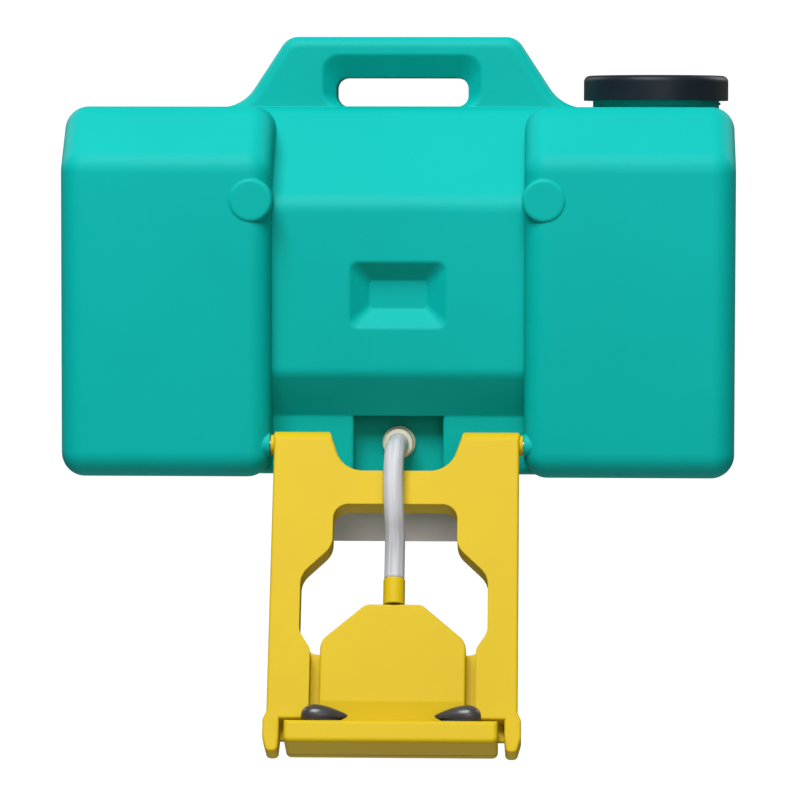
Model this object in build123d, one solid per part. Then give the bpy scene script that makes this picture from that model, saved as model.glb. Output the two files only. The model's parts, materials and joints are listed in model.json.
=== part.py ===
"""Gravity-fed eyewash station: wall bracket, moulded tank and pull-down spray arm.

Millimetres. X to the right as the user faces it, -Y towards the user, +Z up. The origin is the
centre of the bracket's four wall holes, on the wall plane. The tank is drawn from its own corner
point: x from its middle, y back from the front plane of its two lobes, z up from its base. The arm
is drawn hanging straight down from its pivot, and is then leaned forward and carried to it.
"""
from build123d import *
import math
import os

# Overall sizes of the tank
TANK_WIDTH = 540.0
TANK_HEIGHT = 297.0
TANK_DEPTH = 280.0
WALL = 4.0
EDGE_R = 19.0
PROFILE_R = 20.0

# Front lobes and the centre block between them
LOBE_GAP = 203.0
LOBE_SLOPE_RISE = 43.5
CENTRE_SETBACK = 26.0
FOOT_SETBACK = 46.0
FOOT_HEIGHT = 47.5
FACE_BOTTOM_Z = 83.0
CENTRE_SLOPE_RISE = 76.0
FACE_TOP_Z = TANK_HEIGHT - CENTRE_SLOPE_RISE
CENTRE_OVERLAP = 24.0
BOSS_R = 17.6
BOSS_X = LOBE_GAP / 2 + 15.5
BOSS_Z = FACE_TOP_Z + 1.0
BOSS_LIFT = 1.2
BOSS_EDGE_R = 3.0

# Arm pivot
PIVOT_Y = 14.0
PIVOT_Z = 26.0
ARM_LEAN = 25.0

# Dimple that takes the hose nipple when the arm is folded up
DIMPLE_WIDTH = 78.0
DIMPLE_HEIGHT = 53.0
DIMPLE_FLOOR_WIDTH = 47.0
DIMPLE_FLOOR_HEIGHT = 23.0
DIMPLE_DEPTH = 13.0
DIMPLE_CORNER_R = 7.0
DIMPLE_FLOOR_CORNER_R = 4.0
DIMPLE_EDGE_R = 4.0
DIMPLE_Z = PIVOT_Z + 120.0

# Carry handle
HANDLE_RISE = 58.0
HANDLE_TOP_HALF = 94.0
HANDLE_FOOT_HALF = 132.0
HANDLE_THICK = 52.0
HANDLE_MID_Y = 140.0
FINGER_WIDTH = 109.0
FINGER_HEIGHT = 23.5
FINGER_R = 9.0
FINGER_LIFT = 1.0
RELIEF_DEPTH = 11.0
RELIEF_HEIGHT = 19.0
RELIEF_MARGIN = 11.0
RELIEF_CORNER_R = 14.0
RELIEF_EDGE_R = 4.0
HANDLE_FOOT_R = 34.0
HANDLE_TOP_R = 16.0
HANDLE_EDGE_R = 9.0

# Filler neck, cap and vent
NECK_X = 209.0
NECK_Y = 140.0
NECK_R = 52.0
NECK_WALL = 5.0
NECK_BORE_R = NECK_R - NECK_WALL
NECK_RISE = 20.5
CAP_GAP = 4.0
CAP_SKIRT_WALL = 3.5
CAP_BORE_R = NECK_R + CAP_GAP
CAP_R = CAP_BORE_R + CAP_SKIRT_WALL
CAP_TOP_THICK = 3.5
CAP_HEIGHT = 20.5
CAP_EDGE_R = 5.0
GASKET_THICK = 2.5
GASKET_LIP = 1.0
VENT_R = 9.0
VENT_THICK = 3.0
VENT_HOLE_R = 1.5
VENT_SEAT_WALL = 2.0
VENT_SEAT_LIP = 1.0
FIT = 0.05

# Hose, and the outlet in the recess at the foot of the centre block
RECESS_WIDTH = 72.0
RECESS_DEPTH = 20.0
RECESS_EDGE_R = 3.0
OUTLET_Z = 25.0
HOSE_R = 8.0
HOSE_WALL = 2.4
HOSE_BORE_R = HOSE_R - HOSE_WALL
SOCKET_BORE_R = HOSE_R + 0.2
SOCKET_WALL = 3.3
SOCKET_R = SOCKET_BORE_R + SOCKET_WALL
SOCKET_FRONT_Y = FOOT_SETBACK
SOCKET_SHOULDER_Y = SOCKET_FRONT_Y + 14.0
SOCKET_FLANGE_R = SOCKET_R + 1.8
SOCKET_FLANGE_THICK = 3.0
SOCKET_TAIL = 26.0
WATERWAY_R = HOSE_BORE_R
WASHER_THICK = 1.5
NUT_R = SOCKET_R + 5.4
NUT_THICK = 8.0
STRAINER_R = SOCKET_R + 2.4
STRAINER_LENGTH = 30.0
STRAINER_GRIP = 8.0
STRAINER_WALL = 1.2
STRAINER_SLOTS = 3
STRAINER_SLOT_HALF = 1.2

# Pivot hardware
PIVOT_R = 4.5
PIVOT_THREAD_R = 4.0
PIVOT_HOLE_GAP = 0.4
PIVOT_PAD_R = 9.5
PIVOT_HEAD_R = 7.5
PIVOT_HEAD_THICK = 3.5
BUSH_R = 7.0
BUSH_FLANGE_R = 8.0
BUSH_FLANGE_THICK = 3.0
INSERT_R = 8.0
INSERT_LENGTH = 18.0
INSERT_BOSS_R = 13.0
INSERT_INSET = 6.0
RUNNING_FIT = 0.05

# Arm frame
ARM_THICK = 21.0
ARM_HALF = 98.0
ARM_EDGE_R = 2.0
LUG_INNER = 54.2
NOTCH_HALF = 42.5
NOTCH_V = 25.0
NOTCH_R = 22.0
CROSSBAR_V = 54.0
WINDOW_TOP_HALF = 49.3
WINDOW_HALF = 74.0
WINDOW_STEP_V = (89.5, 113.5)
WINDOW_END_V = (160.5, 174.5)
RAIL_INNER = 65.0
RAIL_END_V = 232.0
EAR_OUTER = 100.8
EAR_INNER = 87.8
EAR_END_V = 258.5
WEB_THICK = 4.5
WEB_END_V = 245.0
WEB_INSET = 2.5

# Spray manifold on the arm
PANEL_TOP_V = 137.4
PANEL_TOP_HALF = 22.0
PANEL_SHOULDER_V = 168.0
PANEL_HALF = 57.2
PANEL_BREAK_V = 217.5
PANEL_BREAK_DROP = 4.0
PANEL_FRONT_W = 10.0
BAR_TOP_V = 239.5
BAR_HEIGHT = 18.0
BAR_HALF = 82.8
BAR_FRONT_W = 33.0
BAR_CORNER_R = 4.5
BAR_EDGE_R = 3.5
PANEL_EDGE_R = 2.0
SHELL_WALL = 2.5
BACK_THICK = 2.5
MANIFOLD_GASKET_THICK = 1.0
SCREW_R = 1.5
SCREW_HEAD_R = 3.6
SCREW_HEAD_THICK = 2.2
SCREW_LENGTH = 14.0
SCREW_BOSS_R = 4.2
SCREW_SPOTS = [(20.0, 152.0), (46.0, 181.0), (46.0, 219.0), (24.0, 251.5)]

# Hose nipple
NIPPLE_W = 3.75
NIPPLE_TOP_V = 115.0
NIPPLE_R = 8.6
NIPPLE_TAIL_R = 4.5
NIPPLE_TAIL = 7.0
NIPPLE_BORE_R = 3.0
NIPPLE_SEAL_R = 6.0
NIPPLE_SEAL_THICK = 0.8
BARB_R = HOSE_BORE_R - 0.1
BARB_LENGTH = 9.0

# Spray nozzles
NOZZLE_U = 51.9
NOZZLE_W = 20.5
NOZZLE_HALF_LONG = 18.2
NOZZLE_HALF_SHORT = 11.4
NOZZLE_OUTER_HEIGHT = 17.0
NOZZLE_INNER_HEIGHT = 5.0
NOZZLE_STEM_R = 6.0
NOZZLE_STEM = 8.0
NOZZLE_BORE_R = 4.0
NOZZLE_HOLE_R = 0.8
NOZZLE_ROOF = 2.5
NOZZLE_SEAL_THICK = 1.0
NOZZLE_NUT_R = 9.0
NOZZLE_NUT_THICK = 4.0
FLOW_DISC_THICK = 2.0

# Wall bracket
WALL_GAP = 10.0
SHEET = 2.5
PLATE_WIDTH = 180.0
PLATE_BELOW = 62.0
PLATE_ABOVE = 190.0
HOLE_SPACING_X = 140.0
HOLE_SPACING_Z = 120.0
HOLE_R = 4.5
PATTERN_Z = 110.0
SHELF_FRONT_Y = 118.0
SKIRT_DROP = 61.0
GUSSET_FLANGE = 18.0
GUSSET_FOOT = 12.0
GUSSET_NOSE = 14.0
GUSSET_GAP = 4.0
RIVET_R = 2.4
RIVET_HEAD_R = 4.2
RIVET_HEAD_THICK = 1.4
BASE_SCREW_R = 3.0
BASE_SCREW_HEAD_R = 5.5
BASE_SCREW_HEAD_THICK = 4.0
BASE_SCREW_LENGTH = 16.0
BASE_INSERT_R = 6.0
BASE_INSERT_LENGTH = 16.0
BASE_BOSS_R = 11.0
BASE_WASHER_R = 8.0
BASE_WASHER_THICK = 1.2
BASE_SPOTS_X = 55.0
BASE_SPOTS_Y = (155.0, 245.0)

TANK_FRONT_Y = -(WALL_GAP + TANK_DEPTH)
BASE_Z = -PATTERN_Z
HALF_ARM = ARM_THICK / 2
WEB_FRONT_W = WEB_THICK - HALF_ARM
BACK_FRONT_W = WEB_FRONT_W + BACK_THICK
SHELL_REAR_W = BACK_FRONT_W + MANIFOLD_GASKET_THICK
BAR_END_V = BAR_TOP_V + BAR_HEIGHT
SHELF_REAR_Y = TANK_DEPTH + WALL_GAP
EPS = 0.5


def place(shape):
    """Carry a shape from the tank's own frame to the part's frame."""
    return Location((0, TANK_FRONT_Y, BASE_Z)) * shape


def place_arm(shape):
    """Lean a shape of the arm forward about the pivot and carry it to the pivot."""
    return place(Location((0, PIVOT_Y, PIVOT_Z), (-ARM_LEAN, 0, 0)) * shape)


def save(name, *shapes):
    """Write one node, alone or as a group of separate solids."""
    solids = [solid for shape in shapes for solid in shape.solids()]
    node = solids[0] if len(solids) == 1 else Compound(children=solids)
    export_step(node, f"parts/{name}.step")


def outline(points, radii):
    """A closed face on the XY plane with each corner rounded by its own radius."""
    return make_face(FilletPolyline(*points, radius=radii, close=True))


def side_prism(points, radii, x_from, x_to):
    """A solid of one side profile, given as (y, z), between two x positions."""
    face = outline(points, radii)
    return extrude(Plane.YZ.offset(x_from) * face, amount=x_to - x_from)


def arm_prism(points, radii, w_from, w_to):
    """A solid of one front outline, given as (u, v), between two depths w towards the user."""
    face = outline([(u, -v) for u, v in points], radii)
    return extrude(Plane.XZ.offset(w_from) * face, amount=w_to - w_from)


def box(x_from, x_to, y_from, y_to, z_from, z_to):
    """A box between two corners."""
    size = (x_to - x_from, y_to - y_from, z_to - z_from)
    return Pos(x_from, y_from, z_from) * Box(*size, align=(Align.MIN, Align.MIN, Align.MIN))


def arm_box(u_from, u_to, v_from, v_to, w_from, w_to):
    """A box in the arm's own frame."""
    return box(u_from, u_to, -w_to, -w_from, -v_to, -v_from)


def rod(centre, axis, radius, start, end):
    """A cylinder along X, Y or Z, from start to end on that axis, through centre."""
    turns = {"X": (0, 90, 0), "Y": (-90, 0, 0), "Z": (0, 0, 0)}
    x, y, z = centre
    spot = {"X": (start, y, z), "Y": (x, start, z), "Z": (x, y, start)}[axis]
    shape = Cylinder(radius, end - start, align=(Align.CENTER, Align.CENTER, Align.MIN))
    return Location(spot, turns[axis]) * shape


def ring(centre, axis, outer, inner, start, end):
    """A tube along X, Y or Z."""
    hole = rod(centre, axis, inner, start - EPS, end + EPS)
    return rod(centre, axis, outer, start, end) - hole


def mirrored(shape):
    """The same shape on the other side of the middle plane."""
    return mirror(shape, about=Plane.YZ)


# ---------------------------------------------------------------- tank


def lobe(inset):
    """One of the two side lobes, or its hollow when inset is the wall."""
    height = TANK_HEIGHT - inset
    front = inset
    corner = PROFILE_R - inset
    bevel_z = TANK_HEIGHT - LOBE_SLOPE_RISE - inset * math.tan(math.radians(22.5))
    bevel_y = LOBE_SLOPE_RISE + inset * math.tan(math.radians(22.5))
    rear = TANK_DEPTH - inset
    points = [(front, inset), (front, bevel_z), (bevel_y, height), (rear, height), (rear, inset)]
    radii = [corner, PROFILE_R + 2, PROFILE_R + 2, corner, corner]
    inner = LOBE_GAP / 2 + inset
    outer = TANK_WIDTH / 2 - inset
    solid = side_prism(points, radii, inner, outer)
    ends = solid.edges().filter_by_position(Axis.X, inner, inner)
    ends += solid.edges().filter_by_position(Axis.X, outer, outer)
    return fillet(ends, EDGE_R - inset)


def centre_block(inset):
    """The block between the lobes, set back at its face and again at its foot."""
    slope = TANK_HEIGHT - FACE_TOP_Z
    corner = PROFILE_R - inset
    shift = inset * math.tan(math.radians(22.5))
    face = CENTRE_SETBACK + inset
    points = [
        (FOOT_SETBACK + inset, inset),
        (FOOT_SETBACK + inset, FOOT_HEIGHT + shift),
        (face, FACE_BOTTOM_Z + shift),
        (face, FACE_TOP_Z - shift),
        (CENTRE_SETBACK + slope + shift, TANK_HEIGHT - inset),
        (TANK_DEPTH - inset, TANK_HEIGHT - inset),
        (TANK_DEPTH - inset, inset),
    ]
    radii = [6.0, 4.0, 16.0, 20.0, 16.0, corner, corner]
    half = LOBE_GAP / 2 + CENTRE_OVERLAP
    return side_prism(points, radii, -half, half)


def dimple(extra):
    """The shallow four-sided dimple, or the swelling behind it when extra is the wall."""
    mouth = RectangleRounded(DIMPLE_WIDTH + 2 * extra, DIMPLE_HEIGHT + 2 * extra, DIMPLE_CORNER_R + extra)
    floor = RectangleRounded(DIMPLE_FLOOR_WIDTH + 2 * extra, DIMPLE_FLOOR_HEIGHT + 2 * extra,
                             DIMPLE_FLOOR_CORNER_R + extra)
    front = Plane((0, CENTRE_SETBACK, DIMPLE_Z), x_dir=(1, 0, 0), z_dir=(0, 1, 0))
    back = front.offset(DIMPLE_DEPTH + extra)
    return loft([front * mouth, back * floor])


def handle():
    """The carry handle over the middle, with its finger opening and finger reliefs."""
    top = TANK_HEIGHT + HANDLE_RISE
    root = TANK_HEIGHT - PROFILE_R
    far = HANDLE_FOOT_HALF + 30
    points = [
        (-far, root), (-far, TANK_HEIGHT), (-HANDLE_FOOT_HALF, TANK_HEIGHT),
        (-HANDLE_TOP_HALF, top), (HANDLE_TOP_HALF, top), (HANDLE_FOOT_HALF, TANK_HEIGHT),
        (far, TANK_HEIGHT), (far, root),
    ]
    face = outline(points, [0, 0, HANDLE_FOOT_R, HANDLE_TOP_R, HANDLE_TOP_R, HANDLE_FOOT_R, 0, 0])
    front_y = HANDLE_MID_Y - HANDLE_THICK / 2
    solid = extrude(Plane.XZ.offset(-front_y) * face, amount=-HANDLE_THICK)
    rims = solid.edges().filter_by(lambda e: e.center().Z > TANK_HEIGHT + 1)
    rims = rims.filter_by(lambda e: abs(e.tangent_at(0.5).Y) < 0.1)
    solid = fillet(rims, HANDLE_EDGE_R)
    low = TANK_HEIGHT + FINGER_LIFT
    relief_height = FINGER_HEIGHT + RELIEF_HEIGHT
    for side, y in ((1, front_y), (-1, front_y + HANDLE_THICK)):
        mouth = Plane((0, y, low), x_dir=(1, 0, 0), z_dir=(0, -side, 0))
        relief_width = FINGER_WIDTH + 2 * RELIEF_MARGIN
        wide = Pos(0, relief_height / 2) * RectangleRounded(relief_width, relief_height, RELIEF_CORNER_R)
        narrow = Pos(0, FINGER_HEIGHT / 2) * RectangleRounded(FINGER_WIDTH, FINGER_HEIGHT, FINGER_R)
        solid -= loft([mouth * wide, mouth.offset(-RELIEF_DEPTH) * narrow])
        rim = solid.edges().filter_by_position(Axis.Y, y, y)
        solid = fillet(rim.filter_by(lambda e: abs(e.center().X) < FINGER_WIDTH), RELIEF_EDGE_R)
    opening = RectangleRounded(FINGER_WIDTH, FINGER_HEIGHT, FINGER_R)
    middle_z = TANK_HEIGHT + FINGER_LIFT + FINGER_HEIGHT / 2
    ahead = Plane.XZ.offset(EPS - front_y)
    return solid - extrude(ahead * Pos(0, middle_z) * opening, amount=-HANDLE_THICK - 2 * EPS)


def arm_stop():
    """A moulded wedge on the foot wall that the arm's back rests on when it is down."""
    lean = math.radians(ARM_LEAN)
    points = []
    for v in (22.0, 12.0):
        y = PIVOT_Y - v * math.sin(lean) + (HALF_ARM + 0.3) * math.cos(lean)
        z = PIVOT_Z - v * math.cos(lean) - (HALF_ARM + 0.3) * math.sin(lean)
        points.append((y, z))
    rear = FOOT_SETBACK + WALL / 2
    points += [(rear, 20.0), (rear, points[0][1])]
    return extrude(Plane.YZ.offset(64) * make_face(Polyline(*points, close=True)), amount=26)


def tank_shell():
    """The one-piece moulded tank: two lobes, the centre block, handle, neck and bosses."""
    body = lobe(0) + mirrored(lobe(0)) + centre_block(0) + handle()
    neck_spot = (NECK_X, NECK_Y, 0)
    body += rod(neck_spot, "Z", NECK_R, TANK_HEIGHT - PROFILE_R, TANK_HEIGHT + NECK_RISE)
    boss = rod((BOSS_X, 0, BOSS_Z), "Y", BOSS_R, -BOSS_LIFT, CENTRE_SETBACK)
    boss = fillet(boss.edges().filter_by_position(Axis.Y, -BOSS_LIFT, -BOSS_LIFT), BOSS_EDGE_R)
    pad = rod((0, PIVOT_Y, PIVOT_Z), "X", PIVOT_PAD_R, LOBE_GAP / 2, LOBE_GAP / 2 + EDGE_R)
    body += pad + mirrored(pad)
    body += boss + mirrored(boss) + arm_stop() + mirrored(arm_stop())
    body -= dimple(0)
    face_edges = body.edges().filter_by_position(Axis.Y, CENTRE_SETBACK, CENTRE_SETBACK)
    rim = face_edges.filter_by(lambda e: abs(e.center().X) < DIMPLE_WIDTH / 2 + 1
                               and abs(e.center().Z - DIMPLE_Z) < DIMPLE_HEIGHT / 2 + 1)
    body = fillet(rim, DIMPLE_EDGE_R)
    recess_floor = FOOT_SETBACK + RECESS_DEPTH
    body -= box(-RECESS_WIDTH / 2, RECESS_WIDTH / 2, 0, recess_floor, -EPS, FOOT_HEIGHT)
    sides = body.edges().filter_by(Axis.Z).filter_by(
        lambda e: abs(abs(e.center().X) - RECESS_WIDTH / 2) < 0.1
        and abs(e.center().Y - FOOT_SETBACK) < 0.1)
    body = fillet(sides, RECESS_EDGE_R)

    hollow = lobe(WALL) + mirrored(lobe(WALL)) + centre_block(WALL)
    neck_top = TANK_HEIGHT + NECK_RISE
    hollow += rod(neck_spot, "Z", NECK_BORE_R, TANK_HEIGHT - PROFILE_R - WALL, neck_top + EPS)
    hollow -= dimple(WALL)
    recess_half = RECESS_WIDTH / 2 + WALL
    recess_rear = recess_floor + WALL
    hollow -= box(-recess_half, recess_half, 0, recess_rear, -EPS, FOOT_HEIGHT + WALL)
    wall_x = LOBE_GAP / 2
    deep = wall_x + INSERT_INSET + INSERT_LENGTH + WALL
    insert_boss = rod((0, PIVOT_Y, PIVOT_Z), "X", INSERT_BOSS_R, wall_x, deep)
    hollow -= insert_boss + mirrored(insert_boss)
    for x, y in base_spots():
        hollow -= rod((x, y, 0), "Z", BASE_BOSS_R, 0, BASE_INSERT_LENGTH + WALL)
    shell = body - hollow

    pocket = rod((0, PIVOT_Y, PIVOT_Z), "X", INSERT_R + FIT, wall_x + INSERT_INSET, deep - WALL)
    pocket += rod((0, PIVOT_Y, PIVOT_Z), "X", PIVOT_R + PIVOT_HOLE_GAP, wall_x - 5, wall_x + INSERT_INSET)
    shell -= pocket + mirrored(pocket)
    shell -= rod((0, 0, OUTLET_Z), "Y", SOCKET_R + FIT, FOOT_SETBACK, recess_rear + EPS)
    for x, y in base_spots():
        shell -= rod((x, y, 0), "Z", BASE_INSERT_R + FIT, -EPS, BASE_INSERT_LENGTH)
    return shell


def base_spots():
    """Places of the four screws that hold the tank to the bracket's shelf."""
    return [(x, y) for x in (-BASE_SPOTS_X, BASE_SPOTS_X) for y in BASE_SPOTS_Y]


# ---------------------------------------------------------------- cap and vent


def cap_levels():
    """Heights of the neck's rim, the cap's ceiling, its top and its skirt's end."""
    rim = TANK_HEIGHT + NECK_RISE
    ceiling = rim + GASKET_THICK
    top = ceiling + CAP_TOP_THICK
    return rim, ceiling, top, top - CAP_HEIGHT


def fill_cap():
    """The screw cap, with a seat under its ceiling for the vent filter."""
    rim, ceiling, top, bottom = cap_levels()
    spot = (NECK_X, NECK_Y, 0)
    body = rod(spot, "Z", CAP_R, bottom, top)
    body = fillet(body.edges().filter_by_position(Axis.Z, top, top), CAP_EDGE_R)
    body -= rod(spot, "Z", CAP_BORE_R, bottom - EPS, ceiling)
    seat_bottom = ceiling - VENT_THICK - VENT_SEAT_LIP
    seat = ring(spot, "Z", VENT_R + VENT_SEAT_WALL, VENT_R, seat_bottom, ceiling + EPS)
    return body + seat - rod(spot, "Z", VENT_HOLE_R, ceiling - EPS, top + EPS)


def cap_gasket():
    """Flat rubber ring between the neck's rim and the cap."""
    rim, ceiling, top, bottom = cap_levels()
    return ring((NECK_X, NECK_Y, 0), "Z", NECK_R, NECK_BORE_R - GASKET_LIP, rim, ceiling)


def vent_filter():
    """Porous disc that lets air in above the water."""
    rim, ceiling, top, bottom = cap_levels()
    return rod((NECK_X, NECK_Y, 0), "Z", VENT_R - FIT, ceiling - VENT_THICK, ceiling)


# ---------------------------------------------------------------- outlet


def outlet_washer_front():
    return FOOT_SETBACK + RECESS_DEPTH - WASHER_THICK


def outlet_socket():
    """Cream plastic socket through the tank wall: the hose pushes into its front."""
    spot = (0, 0, OUTLET_Z)
    flange_rear = outlet_washer_front()
    tail_end = FOOT_SETBACK + RECESS_DEPTH + WALL + SOCKET_TAIL
    body = rod(spot, "Y", SOCKET_R, SOCKET_FRONT_Y, tail_end)
    body += rod(spot, "Y", SOCKET_FLANGE_R, flange_rear - SOCKET_FLANGE_THICK, flange_rear)
    body -= rod(spot, "Y", SOCKET_BORE_R, SOCKET_FRONT_Y - EPS, SOCKET_SHOULDER_Y)
    return body - rod(spot, "Y", WATERWAY_R, SOCKET_SHOULDER_Y - EPS, tail_end + EPS)


def outlet_washer():
    """Rubber washer between the socket's flange and the recess."""
    start = outlet_washer_front()
    return ring((0, 0, OUTLET_Z), "Y", SOCKET_FLANGE_R, SOCKET_R + FIT, start, start + WASHER_THICK)


def outlet_nut():
    """Hexagonal back nut inside the tank."""
    start = FOOT_SETBACK + RECESS_DEPTH + WALL
    face = RegularPolygon(NUT_R, 6)
    plane = Plane((0, start, OUTLET_Z), x_dir=(1, 0, 0), z_dir=(0, 1, 0))
    nut = extrude(plane * face, amount=NUT_THICK)
    return nut - rod((0, 0, OUTLET_Z), "Y", SOCKET_R + FIT, start - EPS, start + NUT_THICK + EPS)


def outlet_strainer():
    """Slotted cup that keeps grit out of the hose, pushed over the socket's tail."""
    spot = (0, 0, OUTLET_Z)
    tail_end = FOOT_SETBACK + RECESS_DEPTH + WALL + SOCKET_TAIL
    start = tail_end - STRAINER_GRIP
    end = start + STRAINER_LENGTH
    cup = rod(spot, "Y", STRAINER_R, start, end)
    cup -= rod(spot, "Y", SOCKET_R + FIT, start - EPS, tail_end)
    cup -= rod(spot, "Y", STRAINER_R - STRAINER_WALL, tail_end, end - STRAINER_WALL)
    reach = STRAINER_R + 1
    slot = box(-reach, reach, tail_end + 3, end - 4, -STRAINER_SLOT_HALF, STRAINER_SLOT_HALF)
    for step in range(STRAINER_SLOTS):
        cup -= Location((0, 0, OUTLET_Z), (0, 180 / STRAINER_SLOTS * step, 0)) * slot
    return cup


# ---------------------------------------------------------------- pivots


def pivot_screw():
    """Shoulder screw that the right-hand lug turns on."""
    wall_x = LOBE_GAP / 2
    head = lug_seat() - PIVOT_HEAD_THICK
    shoulder = wall_x + INSERT_INSET
    end = shoulder + INSERT_LENGTH - 3
    spot = (0, PIVOT_Y, PIVOT_Z)
    screw = rod(spot, "X", PIVOT_HEAD_R, head, lug_seat())
    screw += rod(spot, "X", PIVOT_R, lug_seat(), shoulder)
    screw += rod(spot, "X", PIVOT_THREAD_R, shoulder, end)
    hexagon = Plane((head, PIVOT_Y, PIVOT_Z), x_dir=(0, 1, 0), z_dir=(1, 0, 0)) * RegularPolygon(2.9, 6)
    return screw - extrude(hexagon, amount=PIVOT_HEAD_THICK - 1)


def pivot_insert():
    """Brass insert moulded into the lobe's inner wall."""
    start = LOBE_GAP / 2 + INSERT_INSET
    spot = (0, PIVOT_Y, PIVOT_Z)
    body = rod(spot, "X", INSERT_R, start, start + INSERT_LENGTH)
    return body - rod(spot, "X", PIVOT_THREAD_R + FIT, start - EPS, start + INSERT_LENGTH - 2)


def lug_seat():
    """Where the screw's head bears, inside the lug's counterbore."""
    return LUG_INNER + 4


def pivot_bush():
    """Flanged nylon bush in the lug, in the arm's own frame."""
    body = rod((0, 0, 0), "X", BUSH_R, lug_seat() + 0.3, ARM_HALF)
    body += rod((0, 0, 0), "X", BUSH_FLANGE_R, ARM_HALF, ARM_HALF + BUSH_FLANGE_THICK)
    return body - rod((0, 0, 0), "X", PIVOT_R + RUNNING_FIT, 0, ARM_HALF + BUSH_FLANGE_THICK + EPS)


# ---------------------------------------------------------------- arm frame


def frame_outline():
    """Right half of the frame's outline, as (u, v, corner radius)."""
    return [
        (LUG_INNER, -HALF_ARM, 3.0),
        (ARM_HALF, -HALF_ARM, 3.0),
        (ARM_HALF, RAIL_END_V - 6, 6.0),
        (EAR_OUTER, RAIL_END_V, 5.0),
        (EAR_OUTER, RAIL_END_V + 15, 12.0),
        (EAR_OUTER - 3.4, EAR_END_V, 3.8),
        (EAR_INNER + 1.0, EAR_END_V, 3.8),
        (EAR_INNER, RAIL_END_V + 15, 8.0),
        (EAR_INNER, RAIL_END_V, 0),
    ]


def full_outline(half):
    """Both halves of an outline that opens at its top, as points and radii."""
    right = list(half)
    left = [(-u, v, r) for u, v, r in reversed(right)]
    whole = right + left
    return [(u, v) for u, v, r in whole], [r for u, v, r in whole]


def arm_frame():
    """The moulded frame: two lugs, two rails, the crossbar, the back web and two ears."""
    points, radii = full_outline(frame_outline())
    notch = [(-NOTCH_HALF, NOTCH_V), (NOTCH_HALF, NOTCH_V)]
    points += notch
    radii += [NOTCH_R, NOTCH_R]
    body = arm_prism(points, radii, -HALF_ARM, HALF_ARM)
    body = fillet(body.edges().filter_by_position(Axis.Y, -HALF_ARM, -HALF_ARM), ARM_EDGE_R)
    for side in (-1, 1):
        corner = box(side * ARM_HALF / 2 - ARM_HALF, side * ARM_HALF / 2 + ARM_HALF,
                     -HALF_ARM - EPS, HALF_ARM + EPS, 0, HALF_ARM + EPS)
        corner -= rod((0, 0, 0), "X", HALF_ARM, -2 * ARM_HALF, 2 * ARM_HALF)
        body -= corner
    window_sides = [
        (WINDOW_TOP_HALF, CROSSBAR_V, 12.0),
        (WINDOW_TOP_HALF, WINDOW_STEP_V[0], 18.0),
        (WINDOW_HALF, WINDOW_STEP_V[1], 18.0),
        (WINDOW_HALF, WINDOW_END_V[0], 14.0),
        (RAIL_INNER, WINDOW_END_V[1], 10.0),
    ]
    window = window_sides + [(RAIL_INNER, RAIL_END_V + EPS, 0)]
    points, radii = full_outline(window)
    body -= arm_prism(points, radii, WEB_FRONT_W, HALF_ARM + EPS)
    gap = window_sides + [
        (PANEL_HALF - WEB_INSET, WINDOW_END_V[1], 0),
        (PANEL_HALF - WEB_INSET, PANEL_SHOULDER_V + WEB_INSET, 0),
        (PANEL_TOP_HALF - WEB_INSET, PANEL_TOP_V + WEB_INSET, 0),
    ]
    points, radii = full_outline(gap)
    body -= arm_prism(points, radii, -HALF_ARM - EPS, HALF_ARM + EPS)
    body -= arm_box(-EAR_INNER, EAR_INNER, WEB_END_V, EAR_END_V, -HALF_ARM - EPS, HALF_ARM + EPS)
    body += arm_box(-EAR_INNER - 1, EAR_INNER + 1, RAIL_END_V - 1, WEB_END_V, -HALF_ARM, WEB_FRONT_W)
    for side in (-1, 1):
        seat = sorted((side * (LUG_INNER - 14), side * lug_seat()))
        bore = sorted((side * LUG_INNER, side * (ARM_HALF + EPS)))
        body -= rod((0, 0, 0), "X", PIVOT_HEAD_R + 0.7, *seat)
        body -= rod((0, 0, 0), "X", BUSH_R + FIT, *bore)
    for u, v in screw_spots():
        if v < WEB_END_V:
            body -= rod((u, 0, -v), "Y", SCREW_R + FIT, -WEB_FRONT_W - EPS, HALF_ARM + EPS)
    return body


def screw_spots():
    """Places of the manifold's eight screws, as (u, v)."""
    return [(side * u, v) for side in (-1, 1) for u, v in SCREW_SPOTS]


# ---------------------------------------------------------------- manifold


def manifold_outline(inset):
    """Panel and bar together, drawn in by inset, as points and radii."""
    slant = inset * 0.4
    half = [
        (PANEL_TOP_HALF - slant, PANEL_TOP_V + inset, 10.0),
        (PANEL_HALF - inset, PANEL_SHOULDER_V + slant, 14.0),
        (PANEL_HALF - inset, BAR_TOP_V + inset, 0),
        (BAR_HALF - inset, BAR_TOP_V + inset, 0),
        (BAR_HALF - inset, BAR_END_V - inset, BAR_CORNER_R),
    ]
    return full_outline(half)


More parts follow.
